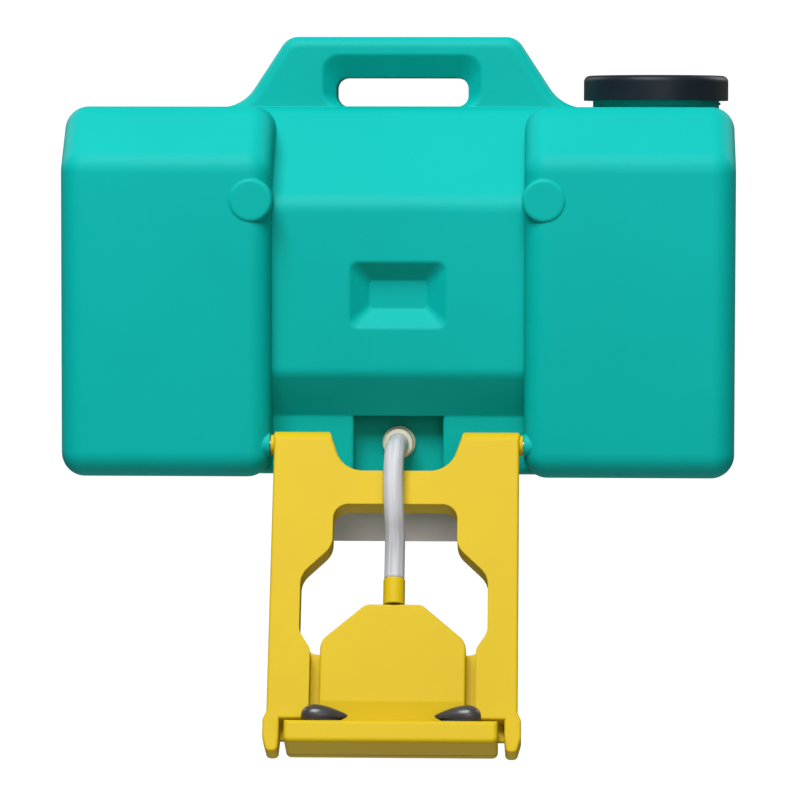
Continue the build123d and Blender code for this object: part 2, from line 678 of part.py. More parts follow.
def manifold_body():
    """Front shell of the water channel: the raised panel and the hollow spray bar."""
    points, radii = manifold_outline(0)
    body = arm_prism(points, radii, SHELL_REAR_W, PANEL_FRONT_W)
    body = fillet(body.edges().filter_by_position(Axis.Y, -PANEL_FRONT_W, -PANEL_FRONT_W), PANEL_EDGE_R)
    drop = [(-PANEL_FRONT_W - EPS, -PANEL_BREAK_V), (-PANEL_FRONT_W, -PANEL_BREAK_V),
            (-PANEL_FRONT_W + PANEL_BREAK_DROP, -BAR_TOP_V), (-PANEL_FRONT_W - EPS, -BAR_TOP_V)]
    slice_face = Plane.YZ.offset(-PANEL_HALF - 1) * make_face(Polyline(*drop, close=True))
    body -= extrude(slice_face, amount=2 * PANEL_HALF + 2)
    bar = arm_box(-BAR_HALF, BAR_HALF, BAR_TOP_V, BAR_END_V, SHELL_REAR_W, BAR_FRONT_W)
    bar = fillet(bar.edges().filter_by(Axis.Y).sort_by(Axis.Z)[:2], BAR_CORNER_R)
    body += fillet(bar.edges().filter_by_position(Axis.Y, -BAR_FRONT_W, -BAR_FRONT_W), BAR_EDGE_R)

    points, radii = manifold_outline(SHELL_WALL)
    channel = arm_prism(points, radii, SHELL_REAR_W - EPS, PANEL_FRONT_W - SHELL_WALL - PANEL_BREAK_DROP)
    inner_top = BAR_TOP_V + SHELL_WALL
    inner_end = BAR_END_V - SHELL_WALL
    half = BAR_HALF - SHELL_WALL
    channel += arm_box(-half, half, inner_top, inner_end, SHELL_REAR_W - EPS, BAR_FRONT_W - SHELL_WALL)
    for u, v in screw_spots():
        channel -= rod((u, 0, -v), "Y", SCREW_BOSS_R, -BAR_FRONT_W, -SHELL_REAR_W)
    body -= channel
    for u, v in screw_spots():
        body -= rod((u, 0, -v), "Y", SCREW_R + FIT, -SHELL_REAR_W - screw_depth(), -SHELL_REAR_W + EPS)
    body -= rod((0, -NIPPLE_W, 0), "Z", NIPPLE_TAIL_R + FIT, -PANEL_TOP_V - NIPPLE_TAIL, -PANEL_TOP_V + EPS)
    for side in (-1, 1):
        spot = (side * NOZZLE_U, -NOZZLE_W, 0)
        body -= rod(spot, "Z", NOZZLE_STEM_R + FIT, -inner_top - EPS, -BAR_TOP_V + EPS)
    return body


def screw_depth():
    """How far a manifold screw reaches into the front shell."""
    return SCREW_LENGTH - WEB_THICK - BACK_THICK - MANIFOLD_GASKET_THICK


def manifold_back():
    """Cover that closes the water channel, thick below the frame's web."""
    points, radii = manifold_outline(0)
    body = arm_prism(points, radii, WEB_FRONT_W, BACK_FRONT_W)
    thick = arm_box(-BAR_HALF, BAR_HALF, WEB_END_V + 0.5, BAR_END_V, -HALF_ARM, WEB_FRONT_W)
    body += fillet(thick.edges().filter_by(Axis.Y).sort_by(Axis.Z)[:2], BAR_CORNER_R)
    for u, v in screw_spots():
        body -= rod((u, 0, -v), "Y", SCREW_R + FIT, -BACK_FRONT_W - EPS, HALF_ARM + EPS)
    return body


def manifold_gasket():
    """Rubber cord seal round the water channel."""
    points, radii = manifold_outline(0)
    body = arm_prism(points, radii, BACK_FRONT_W, SHELL_REAR_W)
    points, radii = manifold_outline(SHELL_WALL)
    body -= arm_prism(points, radii, BACK_FRONT_W - EPS, SHELL_REAR_W + EPS)
    return body


def manifold_screws():
    """Eight pan-head screws from behind, through web and cover into the shell."""
    screws = []
    for u, v in screw_spots():
        head = rod((u, 0, -v), "Y", SCREW_HEAD_R, HALF_ARM, HALF_ARM + SCREW_HEAD_THICK)
        shank = rod((u, 0, -v), "Y", SCREW_R, HALF_ARM - SCREW_LENGTH, HALF_ARM)
        screws.append(head + shank)
    return screws


def nipple_seal():
    """Washer under the nipple's collar."""
    spot = (0, -NIPPLE_W, 0)
    return ring(spot, "Z", NIPPLE_SEAL_R, NIPPLE_TAIL_R + FIT, -PANEL_TOP_V, -PANEL_TOP_V + NIPPLE_SEAL_THICK)


def hose_nipple():
    """Moulded nipple on the panel's top: collar, barb for the hose and threaded tail."""
    spot = (0, -NIPPLE_W, 0)
    collar_end = -PANEL_TOP_V + NIPPLE_SEAL_THICK
    body = rod(spot, "Z", NIPPLE_R, collar_end, -NIPPLE_TOP_V)
    body = fillet(body.edges().filter_by_position(Axis.Z, -NIPPLE_TOP_V, -NIPPLE_TOP_V), 1.2)
    body += rod(spot, "Z", BARB_R, -NIPPLE_TOP_V - 1, -NIPPLE_TOP_V + BARB_LENGTH)
    body += rod(spot, "Z", NIPPLE_TAIL_R, collar_end - NIPPLE_TAIL, collar_end + EPS)
    bottom = collar_end - NIPPLE_TAIL - EPS
    return body - rod(spot, "Z", NIPPLE_BORE_R, bottom, -NIPPLE_TOP_V + BARB_LENGTH + EPS)


# ---------------------------------------------------------------- nozzles


def nozzle_plane():
    """The right-hand nozzle's axis on the bar's top face, in the arm's own frame."""
    return (NOZZLE_U, -NOZZLE_W, -BAR_TOP_V)


def nozzle():
    """Right-hand spray head: an oval dark moulding whose face tilts inward."""
    u, y, z = nozzle_plane()
    start = z + NOZZLE_SEAL_THICK
    oval = Pos(u, y, start) * Ellipse(NOZZLE_HALF_LONG, NOZZLE_HALF_SHORT)
    body = extrude(oval, amount=NOZZLE_OUTER_HEIGHT + 2)
    slope = math.degrees(math.atan2(NOZZLE_OUTER_HEIGHT - NOZZLE_INNER_HEIGHT, 2 * NOZZLE_HALF_LONG))
    middle = start + (NOZZLE_OUTER_HEIGHT + NOZZLE_INNER_HEIGHT) / 2
    tilt = Location((u, y, middle), (0, -slope, 0))
    lid = tilt * Box(80, 60, 30, align=(Align.CENTER, Align.CENTER, Align.MIN))
    body -= lid
    face = body.faces().filter_by(GeomType.PLANE).sort_by(Axis.Z)[-1]
    body = fillet(face.edges(), 2.2)
    body += rod((u, y, 0), "Z", NOZZLE_STEM_R, z - NOZZLE_STEM, start + EPS)
    body -= rod((u, y, 0), "Z", NOZZLE_BORE_R, z - NOZZLE_STEM - EPS, middle - NOZZLE_ROOF - 1.5)
    holes = [(0, 0)] + [(2.4 * math.cos(math.radians(a)), 2.4 * math.sin(math.radians(a)))
                        for a in range(0, 360, 60)]
    for dx, dy in holes:
        body -= tilt * rod((dx, dy, 0), "Z", NOZZLE_HOLE_R, -7, EPS)
    return body


def nozzle_seal():
    """Oval seal under the right-hand nozzle."""
    u, y, z = nozzle_plane()
    oval = Pos(u, y, z) * Ellipse(NOZZLE_HALF_LONG - 1, NOZZLE_HALF_SHORT - 1)
    hole = rod((u, y, 0), "Z", NOZZLE_STEM_R + FIT, z - EPS, z + NOZZLE_SEAL_THICK + EPS)
    return extrude(oval, amount=NOZZLE_SEAL_THICK) - hole


def nozzle_nut():
    """Nut on the right-hand nozzle's stem, inside the bar."""
    u, y, z = nozzle_plane()
    top = z - SHELL_WALL
    face = Pos(u, y, top - NOZZLE_NUT_THICK) * RegularPolygon(NOZZLE_NUT_R, 6)
    hole = rod((u, y, 0), "Z", NOZZLE_STEM_R + FIT, top - NOZZLE_NUT_THICK - EPS, top + EPS)
    return extrude(face, amount=NOZZLE_NUT_THICK) - hole


def flow_disc():
    """Flow-limiting disc in the right-hand nozzle's stem."""
    u, y, z = nozzle_plane()
    start = z - NOZZLE_STEM
    return ring((u, y, 0), "Z", NOZZLE_BORE_R - FIT, 1.2, start, start + FLOW_DISC_THICK)


# ---------------------------------------------------------------- hose


def arm_point(u, v, w):
    """A point of the arm's own frame, as the tank's frame sees it with the arm down."""
    lean = math.radians(ARM_LEAN)
    y = PIVOT_Y - v * math.sin(lean) - w * math.cos(lean)
    z = PIVOT_Z - v * math.cos(lean) + w * math.sin(lean)
    return (u, y, z)


def hose_points():
    """The hose's route: out of the socket, over the crossbar and down on to the nipple."""
    return [
        (0, SOCKET_SHOULDER_Y, OUTLET_Z),
        (0, 27.0, OUTLET_Z),
        (-1.2, -9.0, OUTLET_Z - 0.6),
        arm_point(-2.0, 36.0, 22.3),
        arm_point(-0.8, 62.0, 19.6),
        arm_point(0.3, 80.0, 8.8),
        arm_point(0.0, 97.5, NIPPLE_W),
        arm_point(0.0, NIPPLE_TOP_V, NIPPLE_W),
    ]


def corner_radii(points):
    """Each arc's radius: 0.45 of its shorter run over the tangent of half its turn."""
    radii = []
    for before, corner, after in zip(points, points[1:], points[2:]):
        run_in = Vector(*corner) - Vector(*before)
        run_out = Vector(*after) - Vector(*corner)
        half_turn = math.radians(run_in.get_angle(run_out)) / 2
        radii.append(0.45 * min(run_in.length, run_out.length) / math.tan(half_turn))
    return radii


def hose():
    """Clear PVC tube from the outlet socket to the nipple."""
    points = hose_points()
    radii = corner_radii(points)
    path = FilletPolyline(*points, radius=radii)
    plane = Plane(origin=path @ 0, z_dir=path % 0)
    tube = sweep(plane * Circle(HOSE_R), path=path) - sweep(plane * Circle(HOSE_BORE_R), path=path)
    area = math.pi * (HOSE_R ** 2 - HOSE_BORE_R ** 2)
    print("hose radii", [round(r, 1) for r in radii], "length", round(path.length, 1))
    print("hose volume", round(tube.volume), "section x length", round(area * path.length))
    return tube


# ---------------------------------------------------------------- wall bracket


def plate_holes():
    """The four wall holes, as (x, z) from the pattern's centre."""
    return [(x, z) for x in (-HOLE_SPACING_X / 2, HOLE_SPACING_X / 2)
            for z in (-HOLE_SPACING_Z / 2, HOLE_SPACING_Z / 2)]


def rivet_spots():
    """Rivets that join a gusset to the shelf, as y, and to the wall plate, as z."""
    return (150.0, 215.0, 265.0), (-22.0, -46.0)


def wall_bracket():
    """Folded sheet: the wall plate, the shelf under the tank and the skirt at its front."""
    half = PLATE_WIDTH / 2
    rear = SHELF_REAR_Y
    front = SHELF_FRONT_Y
    profile = [
        (rear - SHEET, PLATE_ABOVE), (rear - SHEET, 0), (front, 0), (front, -SKIRT_DROP),
        (front + SHEET, -SKIRT_DROP), (front + SHEET, -SHEET), (rear - SHEET, -SHEET),
        (rear - SHEET, -PLATE_BELOW), (rear, -PLATE_BELOW), (rear, PLATE_ABOVE),
    ]
    body = side_prism(profile, [0, 0, 2.4, 0, 0, 0, 0, 0, 0, 0], -half, half)
    for x, z in plate_holes():
        body -= rod((x, 0, PATTERN_Z + z), "Y", HOLE_R, rear - SHEET - EPS, rear + EPS)
    for x, y in base_spots():
        body -= rod((x, y, 0), "Z", BASE_SCREW_R + 0.4, -SHEET - EPS, EPS)
    shelf_rivets, plate_rivets = rivet_spots()
    for side in (-1, 1):
        x = side * rivet_x()
        for y in shelf_rivets:
            body -= rod((x, y, 0), "Z", RIVET_R + FIT, -SHEET - EPS, EPS)
        for z in plate_rivets:
            body -= rod((x, 0, z), "Y", RIVET_R + FIT, rear - SHEET - EPS, rear + EPS)
    return body


def rivet_x():
    """Middle of a gusset's flange."""
    return PLATE_WIDTH / 2 - SHEET - GUSSET_FLANGE / 2


def gusset():
    """Right-hand gusset: a triangular web with a flange on the shelf and one on the plate."""
    outer = PLATE_WIDTH / 2
    inner = outer - SHEET
    rear = SHELF_REAR_Y - SHEET
    front = SHELF_FRONT_Y + SHEET + GUSSET_GAP
    under = -SHEET
    web = [
        (rear, under), (rear, -PLATE_BELOW), (rear - GUSSET_FOOT, -PLATE_BELOW),
        (front, under - GUSSET_NOSE), (front, under),
    ]
    body = side_prism(web, [0, 0, 4.0, 4.0, 0], inner, outer)
    flange_in = inner - GUSSET_FLANGE
    body += box(flange_in, inner, front, rear, under - SHEET, under)
    body += box(flange_in, inner, rear - SHEET, rear, -PLATE_BELOW, under)
    shelf_rivets, plate_rivets = rivet_spots()
    for y in shelf_rivets:
        body -= rod((rivet_x(), y, 0), "Z", RIVET_R + FIT, under - SHEET - EPS, under + EPS)
    for z in plate_rivets:
        body -= rod((rivet_x(), 0, z), "Y", RIVET_R + FIT, rear - SHEET - EPS, rear + EPS)
    return body


def bracket_rivets():
    """Rivets through the gussets' flanges; their far ends are flush."""
    rivets = []
    shelf_rivets, plate_rivets = rivet_spots()
    rear = SHELF_REAR_Y
    for side in (-1, 1):
        x = side * rivet_x()
        for y in shelf_rivets:
            low = -2 * SHEET
            rivet = rod((x, y, 0), "Z", RIVET_R, low, 0)
            rivets.append(rivet + rod((x, y, 0), "Z", RIVET_HEAD_R, low - RIVET_HEAD_THICK, low))
        for z in plate_rivets:
            near = rear - 2 * SHEET
            rivet = rod((x, 0, z), "Y", RIVET_R, near, rear)
            rivets.append(rivet + rod((x, 0, z), "Y", RIVET_HEAD_R, near - RIVET_HEAD_THICK, near))
    return rivets


def base_inserts():
    """Threaded brass inserts in the tank's base."""
    inserts = []
    for x, y in base_spots():
        body = rod((x, y, 0), "Z", BASE_INSERT_R, 0, BASE_INSERT_LENGTH)
        inserts.append(body - rod((x, y, 0), "Z", BASE_SCREW_R + FIT, -EPS, BASE_INSERT_LENGTH - 1.5))
    return inserts


def base_washers():
    """Washers under the screws' heads, below the shelf."""
    low = -SHEET - BASE_WASHER_THICK
    return [ring((x, y, 0), "Z", BASE_WASHER_R, BASE_SCREW_R + 0.2, low, -SHEET) for x, y in base_spots()]


def base_screws():
    """Screws that hold the tank down on the shelf."""
    screws = []
    under = -SHEET - BASE_WASHER_THICK
    for x, y in base_spots():
        body = rod((x, y, 0), "Z", BASE_SCREW_R, under, under + BASE_SCREW_LENGTH)
        body += rod((x, y, 0), "Z", BASE_SCREW_HEAD_R, under - BASE_SCREW_HEAD_THICK, under)
        socket = Pos(x, y, under - BASE_SCREW_HEAD_THICK) * RegularPolygon(2.9, 6)
        screws.append(body - extrude(socket, amount=BASE_SCREW_HEAD_THICK - 1))
    return screws


os.makedirs("parts", exist_ok=True)

save("tank_shell", place(tank_shell()))
save("fill_cap", place(fill_cap()))
save("cap_gasket", place(cap_gasket()))
save("vent_filter", place(vent_filter()))
save("outlet_socket", place(outlet_socket()))
save("outlet_washer", place(outlet_washer()))
save("outlet_nut", place(outlet_nut()))
save("outlet_strainer", place(outlet_strainer()))
save("pivot_screw_left", place(mirrored(pivot_screw())))
save("pivot_screw_right", place(pivot_screw()))
save("pivot_insert_left", place(mirrored(pivot_insert())))
save("pivot_insert_right", place(pivot_insert()))
save("pivot_bush_left", place_arm(mirrored(pivot_bush())))
save("pivot_bush_right", place_arm(pivot_bush()))
save("arm_frame", place_arm(arm_frame()))
save("manifold_body", place_arm(manifold_body()))
save("manifold_back", place_arm(manifold_back()))
save("manifold_gasket", place_arm(manifold_gasket()))
save("manifold_screws", *[place_arm(screw) for screw in manifold_screws()])
save("hose_nipple", place_arm(hose_nipple()))
save("nipple_seal", place_arm(nipple_seal()))
save("nozzle_left", place_arm(mirrored(nozzle())))
save("nozzle_right", place_arm(nozzle()))
save("nozzle_seals", place_arm(mirrored(nozzle_seal())), place_arm(nozzle_seal()))
save("nozzle_nuts", place_arm(mirrored(nozzle_nut())), place_arm(nozzle_nut()))
save("flow_discs", place_arm(mirrored(flow_disc())), place_arm(flow_disc()))
save("hose", place(hose()))
save("wall_bracket", place(wall_bracket()))
save("gusset_left", place(mirrored(gusset())))
save("gusset_right", place(gusset()))
save("bracket_rivets", *[place(rivet) for rivet in bracket_rivets()])
save("base_inserts", *[place(insert) for insert in base_inserts()])
save("base_washers", *[place(washer) for washer in base_washers()])
save("base_screws", *[place(screw) for screw in base_screws()])
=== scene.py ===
"""A wall-hung eyewash station: green moulded tank, black screw cap, yellow fold-down spray arm.

Metres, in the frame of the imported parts: +X to the right, -Y towards the user, +Z up, with the
origin at the middle of the bracket's four wall holes.
"""
import json
import math

import bpy
from mathutils import Matrix, Vector

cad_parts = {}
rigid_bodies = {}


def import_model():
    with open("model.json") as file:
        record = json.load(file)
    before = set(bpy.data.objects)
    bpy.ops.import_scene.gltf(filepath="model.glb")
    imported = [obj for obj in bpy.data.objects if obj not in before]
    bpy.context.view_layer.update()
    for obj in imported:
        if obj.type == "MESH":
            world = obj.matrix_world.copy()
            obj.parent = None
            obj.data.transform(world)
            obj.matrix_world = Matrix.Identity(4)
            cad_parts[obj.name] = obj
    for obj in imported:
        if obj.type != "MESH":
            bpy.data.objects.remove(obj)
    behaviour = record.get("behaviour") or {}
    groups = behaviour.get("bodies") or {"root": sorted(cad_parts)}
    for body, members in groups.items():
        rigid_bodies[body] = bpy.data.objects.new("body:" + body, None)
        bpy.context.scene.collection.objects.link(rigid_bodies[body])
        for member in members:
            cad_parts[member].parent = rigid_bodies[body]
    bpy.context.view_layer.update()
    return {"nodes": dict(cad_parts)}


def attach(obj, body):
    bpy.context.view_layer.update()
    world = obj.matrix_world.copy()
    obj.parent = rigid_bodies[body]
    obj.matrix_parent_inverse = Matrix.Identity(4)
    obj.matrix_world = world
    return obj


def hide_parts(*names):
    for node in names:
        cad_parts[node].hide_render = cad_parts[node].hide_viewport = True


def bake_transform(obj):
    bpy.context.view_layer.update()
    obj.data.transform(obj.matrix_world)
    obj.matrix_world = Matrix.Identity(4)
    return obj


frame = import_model()
nodes = frame["nodes"]
for thing in bpy.context.scene.objects:
    thing.select_set(False)

# ---------------------------------------------------------------- camera
# A long lens about three and a half metres from the wall, a little to the right of the unit and
# just under the height of the tank's shoulders, looking slightly down.
camera = bpy.data.objects.new("camera", bpy.data.cameras.new("camera"))
bpy.context.scene.collection.objects.link(camera)
turn_left, look_down, lean_over = math.radians(2.01), math.radians(3.48), math.radians(0.1)
aim = Matrix.Rotation(turn_left, 4, "Z") @ Matrix.Rotation(math.pi / 2 - look_down, 4, "X")
camera.rotation_euler = (aim @ Matrix.Rotation(lean_over, 4, "Z")).to_euler()
camera.location = (0.1197, -3.6187, 0.1558)
camera.data.sensor_width = 36.0
camera.data.lens = 188.3
bpy.context.scene.camera = camera

# ---------------------------------------------------------------- hose
# Clear PVC tube, 16 mm outside and 11.2 mm inside, gone milky with use. One end is pushed into the
# cream socket and the other over the barb of the arm's nipple, and it bends where the arm turns.
hose_radius = 0.008
hose_wall = 0.0024
hose_route = [
    (0, -0.2300, -0.0850), (0, -0.2630, -0.0850), (-0.0012, -0.2990, -0.0856),
    (-0.0020, -0.31143, -0.10720), (-0.0008, -0.31997, -0.13191), (0.0003, -0.31779, -0.15279),
    (0, -0.32060, -0.17078), (0, -0.32800, -0.18664),
]
hose_line = bpy.data.curves.new("hose_line", "CURVE")
hose_line.dimensions = "3D"
hose_line.resolution_u = 20
run = hose_line.splines.new("NURBS")
run.points.add(len(hose_route) - 1)
for point, place in zip(run.points, hose_route):
    point.co = (*place, 1)
run.order_u = 3
run.use_endpoint_u = True
guide = bpy.data.objects.new("hose_guide", hose_line)
bpy.context.scene.collection.objects.link(guide)
bpy.context.view_layer.update()
middle_line = [vertex.co.copy() for vertex in bpy.data.meshes.new_from_object(guide).vertices]
hose_line.bevel_depth = hose_radius
hose_line.bevel_resolution = 14
bpy.context.view_layer.update()
hose = bpy.data.objects.new("clear_hose", bpy.data.meshes.new_from_object(guide))
bpy.context.scene.collection.objects.link(hose)
bpy.data.objects.remove(guide)

round_count = len(hose.data.vertices) // len(middle_line)
lengthwise = hose.data.attributes.new("lengthwise", "FLOAT_VECTOR", "POINT")
for number in range(len(hose.data.vertices)):
    ring, spoke = divmod(number, round_count)
    angle = 2 * math.pi * spoke / round_count
    lengthwise.data[number].vector = (math.cos(angle), math.sin(angle), ring / len(middle_line))
bpy.context.view_layer.objects.active = hose
hose.select_set(True)
wall = hose.modifiers.new("wall", "SOLIDIFY")
wall.thickness = hose_wall
wall.offset = -1
bpy.ops.object.modifier_apply(modifier=wall.name)
bpy.ops.object.shade_smooth()
hose.select_set(False)

milky = bpy.data.materials.new("milky_pvc")
milky.use_nodes = True
web, wire = milky.node_tree.nodes, milky.node_tree.links
shader = web["Principled BSDF"]
shader.inputs["Roughness"].default_value = 0.42
shader.inputs["IOR"].default_value = 1.4
shader.inputs["Specular IOR Level"].default_value = 0.3
shader.inputs["Transmission Weight"].default_value = 0.28
shader.inputs["Subsurface Weight"].default_value = 0.3
shader.inputs["Subsurface Radius"].default_value = (0.010, 0.009, 0.008)
shader.inputs["Subsurface Scale"].default_value = 1.0
along = web.new("ShaderNodeAttribute")
along.attribute_name = "lengthwise"
drawn = web.new("ShaderNodeMapping")
drawn.inputs["Scale"].default_value = (1.6, 1.6, 0.9)
wire.new(along.outputs["Vector"], drawn.inputs["Vector"])
streak = web.new("ShaderNodeTexNoise")
streak.inputs["Scale"].default_value = 2.4
streak.inputs["Detail"].default_value = 4.0
wire.new(drawn.outputs["Vector"], streak.inputs["Vector"])
tint = web.new("ShaderNodeValToRGB")
tint.color_ramp.elements[0].position = 0.32
tint.color_ramp.elements[0].color = (0.52, 0.52, 0.51, 1)
tint.color_ramp.elements[1].position = 0.68
tint.color_ramp.elements[1].color = (0.74, 0.72, 0.70, 1)
wire.new(streak.outputs["Fac"], tint.inputs["Fac"])
wire.new(tint.outputs["Color"], shader.inputs["Base Color"])
drawn_bump = web.new("ShaderNodeBump")
drawn_bump.inputs["Strength"].default_value = 0.12
drawn_bump.inputs["Distance"].default_value = 0.0006
wire.new(streak.outputs["Fac"], drawn_bump.inputs["Height"])
wire.new(drawn_bump.outputs["Normal"], shader.inputs["Normal"])
hose.data.materials.append(milky)
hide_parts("hose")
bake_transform(hose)

# ---------------------------------------------------------------- room and light
# The unit hangs at its working height over a pale floor. A broad key light stands high in front,
# a wide weaker one fills from the camera's side, and two light the back. The room around them is
# dim, and is white only as a backdrop.
screws_above_floor = 1.25
bpy.ops.mesh.primitive_circle_add(vertices=128, radius=1.6, fill_type="NGON",
                                  location=(0, -0.15, -screws_above_floor))
floor = bpy.context.object
floor.name = "floor"
pale = bpy.data.materials.new("pale_floor")
pale.use_nodes = True
pale.node_tree.nodes["Principled BSDF"].inputs["Base Color"].default_value = (0.55, 0.55, 0.55, 1)
pale.node_tree.nodes["Principled BSDF"].inputs["Roughness"].default_value = 0.9
floor.data.materials.append(pale)
floor.select_set(False)

room = bpy.data.worlds.new("white_room")
bpy.context.scene.world = room
room.use_nodes = True
air = room.node_tree.nodes
seen = air.new("ShaderNodeLightPath")
behind = air.new("ShaderNodeBackground")
behind.inputs["Color"].default_value = (1, 1, 1, 1)
behind.inputs["Strength"].default_value = 1.05
around = air["Background"]
around.inputs["Color"].default_value = (0.95, 0.97, 1.0, 1)
around.inputs["Strength"].default_value = 0.12
choice = air.new("ShaderNodeMixShader")
room.node_tree.links.new(seen.outputs["Is Camera Ray"], choice.inputs[0])
room.node_tree.links.new(around.outputs[0], choice.inputs[1])
room.node_tree.links.new(behind.outputs[0], choice.inputs[2])
room.node_tree.links.new(choice.outputs[0], air["World Output"].inputs["Surface"])
bpy.context.scene.view_settings.view_transform = "Standard"


def softbox(name, place, target, width, watts, tone):
    """A square soft light at place, turned to face target."""
    lamp = bpy.data.objects.new(name, bpy.data.lights.new(name, "AREA"))
    bpy.context.scene.collection.objects.link(lamp)
    lamp.data.size = width
    lamp.data.energy = watts
    lamp.data.color = tone
    lamp.location = place
    lamp.rotation_euler = (Vector(target) - Vector(place)).to_track_quat("-Z", "Y").to_euler()


softbox("key", (-0.4, -2.3, 2.7), (0, -0.25, 0), 2.0, 186, (0.97, 0.99, 1.09))
softbox("fill", (0.9, -3.6, 0.7), (0, -0.25, -0.05), 2.0, 20, (1.0, 0.97, 0.91))
softbox("back_left", (-2.2, 1.6, 1.6), (0, -0.2, 0), 1.6, 30, (1.0, 1.0, 1.0))
softbox("back_right", (2.2, 1.6, 1.6), (0, -0.2, 0), 1.6, 30, (1.0, 1.0, 1.0))

# ---------------------------------------------------------------- tank
# Moulded polyethylene in one piece, a green-blue all the way through. The skin is a fine matt
# with a slow unevenness from the mould, in two close tones that drift into each other.


def moulded(name, light, dark, rough, drift, grain, grain_depth, waves=0.0, level=0.2, edge=0.0006):
    """Moulded plastic or rubber: two drifting tones, matt grain, shallow waves and softened edges."""
    made = bpy.data.materials.new(name)
    made.use_nodes = True
    web, wire = made.node_tree.nodes, made.node_tree.links
    shader = web["Principled BSDF"]
    shader.inputs["Specular IOR Level"].default_value = level
    spot = web.new("ShaderNodeTexCoord")
    cloud = web.new("ShaderNodeTexNoise")
    cloud.inputs["Scale"].default_value = drift
    cloud.inputs["Detail"].default_value = 5.0
    wire.new(spot.outputs["Object"], cloud.inputs["Vector"])
    tone = web.new("ShaderNodeValToRGB")
    tone.color_ramp.elements[0].position = 0.3
    tone.color_ramp.elements[0].color = (*dark, 1)
    tone.color_ramp.elements[1].position = 0.7
    tone.color_ramp.elements[1].color = (*light, 1)
    wire.new(cloud.outputs["Fac"], tone.inputs["Fac"])
    wire.new(tone.outputs["Color"], shader.inputs["Base Color"])
    sheen = web.new("ShaderNodeMapRange")
    sheen.inputs["To Min"].default_value = rough - 0.07
    sheen.inputs["To Max"].default_value = rough + 0.07
    wire.new(cloud.outputs["Fac"], sheen.inputs["Value"])
    wire.new(sheen.outputs["Result"], shader.inputs["Roughness"])
    skin = web.new("ShaderNodeTexNoise")
    skin.inputs["Scale"].default_value = grain
    skin.inputs["Detail"].default_value = 3.0
    wire.new(spot.outputs["Object"], skin.inputs["Vector"])
    fine = web.new("ShaderNodeBump")
    fine.inputs["Strength"].default_value = 0.5
    fine.inputs["Distance"].default_value = grain_depth
    wire.new(skin.outputs["Fac"], fine.inputs["Height"])
    round_off = web.new("ShaderNodeBevel")
    round_off.samples = 6
    round_off.inputs["Radius"].default_value = edge
    wire.new(round_off.outputs["Normal"], fine.inputs["Normal"])
    if waves:
        swell = web.new("ShaderNodeTexNoise")
        swell.inputs["Scale"].default_value = 9.0
        swell.inputs["Detail"].default_value = 1.0
        wire.new(spot.outputs["Object"], swell.inputs["Vector"])
        slow = web.new("ShaderNodeBump")
        slow.inputs["Strength"].default_value = 0.6
        slow.inputs["Distance"].default_value = waves
        wire.new(swell.outputs["Fac"], slow.inputs["Height"])
        wire.new(round_off.outputs["Normal"], slow.inputs["Normal"])
        wire.new(slow.outputs["Normal"], fine.inputs["Normal"])
    wire.new(fine.outputs["Normal"], shader.inputs["Normal"])
    return made


def dress(material, *names):
    """Give CAD nodes a material."""
    for name in names:
        nodes[name].data.materials.clear()
        nodes[name].data.materials.append(material)


green = moulded("green_polyethylene", light=(0.0, 0.372, 0.310), dark=(0.0, 0.345, 0.285),
                rough=0.55, drift=5.0, grain=900, grain_depth=0.0001, waves=0.0012, level=0.1,
                edge=0.0022)
dress(green, "tank_shell")

# ---------------------------------------------------------------- neck thread
# The neck's screw thread, one turn and three quarters of a blunt ridge moulded with the tank. It
# stands in the gap under the cap's skirt and shows only when the cap is lifted.
thread_pitch = 0.008
thread_turns = 1.75
ridge_radius = 0.0523
bpy.ops.mesh.primitive_plane_add(size=0.002)
thread = bpy.context.object
thread.name = "neck_thread"
bpy.ops.object.mode_set(mode="EDIT")
bpy.ops.mesh.select_all(action="SELECT")
bpy.ops.transform.rotate(value=math.pi / 2, orient_axis="X", center_override=(0, 0, 0))
bpy.ops.transform.translate(value=(ridge_radius, 0, 0))
bpy.ops.mesh.delete(type="ONLY_FACE")
bpy.ops.object.mode_set(mode="OBJECT")
coil = thread.modifiers.new("coil", "SCREW")
coil.axis = "Z"
coil.angle = 2 * math.pi * thread_turns
coil.screw_offset = thread_pitch * thread_turns
coil.steps = 126
coil.render_steps = 126
coil.use_merge_vertices = False
bpy.ops.object.modifier_apply(modifier=coil.name)
bpy.ops.object.mode_set(mode="EDIT")
bpy.ops.mesh.select_all(action="SELECT")
bpy.ops.mesh.fill_holes(sides=4)
bpy.ops.mesh.select_all(action="SELECT")
bpy.ops.mesh.normals_make_consistent(inside=False)
bpy.ops.object.mode_set(mode="OBJECT")
blunt = thread.modifiers.new("blunt", "BEVEL")
blunt.width = 0.0005
blunt.segments = 2
blunt.angle_limit = math.radians(50)
bpy.ops.object.modifier_apply(modifier=blunt.name)
neck_middle = (0.209, -0.150)
lowest_turn = 0.1905
thread.location = (*neck_middle, lowest_turn)
bpy.ops.object.transform_apply(location=True, rotation=True, scale=True)
bpy.ops.object.shade_smooth_by_angle(angle=math.radians(40))
thread.data.materials.append(green)
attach(thread, "tank")
thread.select_set(False)

# ---------------------------------------------------------------- cap
# Wide screw cap moulded in black plastic, with a smooth skirt, a rounded rim and a breather hole
# at its middle. Its skin is a little duller than the spray heads'.
black = moulded("black_cap_plastic", light=(0.010, 0.014, 0.019), dark=(0.006, 0.009, 0.013),
                rough=0.45, drift=30, grain=1400, grain_depth=0.0001)
dress(black, "fill_cap")

